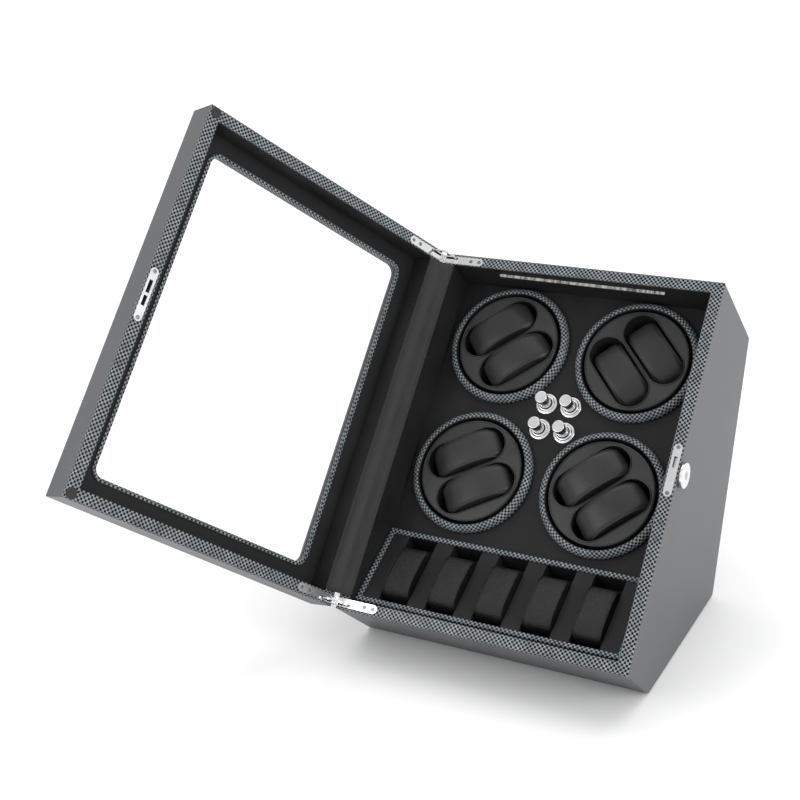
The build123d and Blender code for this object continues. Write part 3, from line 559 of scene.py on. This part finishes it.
def tray_pillows():
    """Five leather pillows that lean back in the tray."""
    along = U * math.cos(LEAN) - N * math.sin(LEAN)
    out = U * math.sin(LEAN) + N * math.cos(LEAN)
    across = out.cross(along)
    for index in range(1, 6):
        node = f"tray_pillow_{index}"
        place = basis(along, across, out, middle(node))
        sizes = (TRAY_PILLOW_HALF, TRAY_PILLOW_W, TRAY_PILLOW_HALF_H)
        pillow(node, place, sizes, TRAY_DRAW, TRAY_SQUARE, "tray_leather", 20 + index)
        welts(node, place, sizes, TRAY_DRAW, TRAY_SQUARE, "tray_leather")


# ---------------------------------------------------------------- gusset

def gusset():
    """The leather strip that folds between case and door, with a raised line along each edge."""
    start = (GUSSET_INSET, GUSSET_N)
    dx, dn = GUSSET_INSET - HINGE_X, GUSSET_N - HINGE_N
    end = (
        HINGE_X + dx * math.cos(OPEN) - dn * math.sin(OPEN),
        HINGE_N + dx * math.sin(OPEN) + dn * math.cos(OPEN),
    )
    chord = Vector((end[0] - start[0], end[1] - start[1]))
    out = Vector((chord.y, -chord.x)).normalized()
    thick, flap = GUSSET_THICK, GUSSET_FLAP
    side = Vector((math.cos(OPEN), math.sin(OPEN)))
    fold = Vector((-math.sin(OPEN), math.cos(OPEN)))
    steps, rows = 60, 60
    sag, line, pebble = 1.1 * MM, 0.5 * MM, 0.12 * MM
    rings = []
    for j in range(rows + 1):
        u = GUSSET_LOW + (GUSSET_HIGH - GUSSET_LOW) * j / rows
        front = [at(start[0] + 0.1 * MM, u, start[1] - flap)]
        back = [at(start[0] + 0.1 * MM - thick, u, start[1] - flap)]
        for i in range(steps + 1):
            f = i / steps
            valley = -sag * math.exp(-((f - 0.5) / 0.16) ** 2)
            edge = line * sum(math.exp(-((f - place) / 0.018) ** 2) for place in (0.05, 0.95))
            edge -= line * sum(math.exp(-((f - place) / 0.020) ** 2) for place in (0.11, 0.89))
            ripple = pebble * noise.noise(Vector((9 * f, 0, 20 * u)))
            x = start[0] + chord.x * f + out.x * (valley + edge + ripple)
            n = start[1] + chord.y * f + out.y * (valley + edge + ripple)
            front.append(at(x, u, n))
            back.append(at(x - out.x * thick, u, n - out.y * thick))
        tip = (end[0] + fold.x * flap, end[1] + fold.y * flap)
        front.append(at(tip[0], u, tip[1]))
        back.append(at(tip[0] - side.x * thick, u, tip[1] - side.y * thick))
        rings.append(front + back[::-1])
    piece = loft("gusset_leather", rings, "gusset_leather", None)
    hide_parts("hinge_gusset")
    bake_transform(piece)


# ---------------------------------------------------------------- CAD nodes, stage, lights, camera

def finish_nodes():
    """Gives every CAD node the material of its slot, or one of its own."""
    slots = {row["node"]: row["material_slot"] for row in frame["record"]["subparts"]}
    own = {
        "door_rim": "carbon_door", "glass_trim": "carbon_door", "tray_rim": "carbon_tray",
        "door_frame": "leatherette_door", "case_screws": "screw_steel", "door_screws": "screw_steel",
    }
    for name, node in frame["nodes"].items():
        paint(node, MATERIALS[own.get(name, slots[name])])


def floor():
    """A plain pale floor."""
    size = 30
    verts = [(-size, -size, 0), (size, -size, 0), (size, size, 0), (-size, size, 0)]
    mesh = bpy.data.meshes.new("floor")
    mesh.from_pydata(verts, [], [(0, 1, 2, 3)])
    piece = bpy.data.objects.new("floor", mesh)
    bpy.context.scene.collection.objects.link(piece)
    n = Nodes("floor", (0.93, 0.93, 0.93), 0.8)
    n.link(n.ramp(n.noise(n.coords(), 2, 2), (0.3, 0.925), (0.7, 0.935)), "Base Color")
    paint(piece, n.material)


def lamp(name, place, aim, size, power):
    """A soft rectangular lamp."""
    light = bpy.data.lights.new(name, "AREA")
    light.shape = "RECTANGLE"
    light.size, light.size_y = size
    light.energy = power
    lamp_object = bpy.data.objects.new(name, light)
    lamp_object.location = place
    lamp_object.rotation_euler = (Vector(aim) - Vector(place)).to_track_quat("-Z", "Y").to_euler()
    bpy.context.scene.collection.objects.link(lamp_object)


def lights():
    """Plain soft studio light in a white room."""
    world = bpy.data.worlds.new("studio")
    bpy.context.scene.world = world
    world.use_nodes = True
    tree = world.node_tree
    background = tree.nodes["Background"]
    height = tree.nodes.new("ShaderNodeSeparateXYZ")
    ramp = tree.nodes.new("ShaderNodeValToRGB")
    tree.links.new(tree.nodes.new("ShaderNodeTexCoord").outputs["Generated"], height.inputs[0])
    tree.links.new(height.outputs["Z"], ramp.inputs["Fac"])
    tree.links.new(ramp.outputs["Color"], background.inputs["Color"])
    for element, (place, value) in zip(ramp.color_ramp.elements, ((0.12, 1.0), (0.75, 0.78))):
        element.position = place
        element.color = (value, value, value, 1)
    background.inputs["Strength"].default_value = 1.0
    lamp("key", place=(-1.2, -1.7, 1.5), aim=(0, 0, 0.2), size=(0.9, 0.9), power=9)
    lamp("right", place=(2.2, -0.5, 1.2), aim=(0, 0, 0.25), size=(0.9, 1.2), power=15)
    sun = bpy.data.lights.new("ceiling", "SUN")
    sun.energy = 1.2
    sun.angle = math.radians(70)
    ceiling = bpy.data.objects.new("ceiling", sun)
    ceiling.rotation_euler = (math.radians(-28), math.radians(-6), 0)
    bpy.context.scene.collection.objects.link(ceiling)


def camera():
    """The camera stands low to the right of the open box."""
    data = bpy.data.cameras.new("camera")
    data.lens = 63.873
    data.sensor_width = 36
    data.shift_x = -0.0722
    data.shift_y = -0.0237
    data.clip_start = 0.01
    piece = bpy.data.objects.new("camera", data)
    piece.location = (0.5537, -1.2440, 0.8042)
    piece.rotation_euler = tuple(math.radians(a) for a in (68.730, 2.085, 26.678))
    bpy.context.scene.collection.objects.link(piece)
    bpy.context.scene.camera = piece


bpy.context.scene.view_settings.view_transform = "Standard"
camera()
finish_nodes()
rotors()
tray_pillows()
collars()
gusset()
floor()
lights()
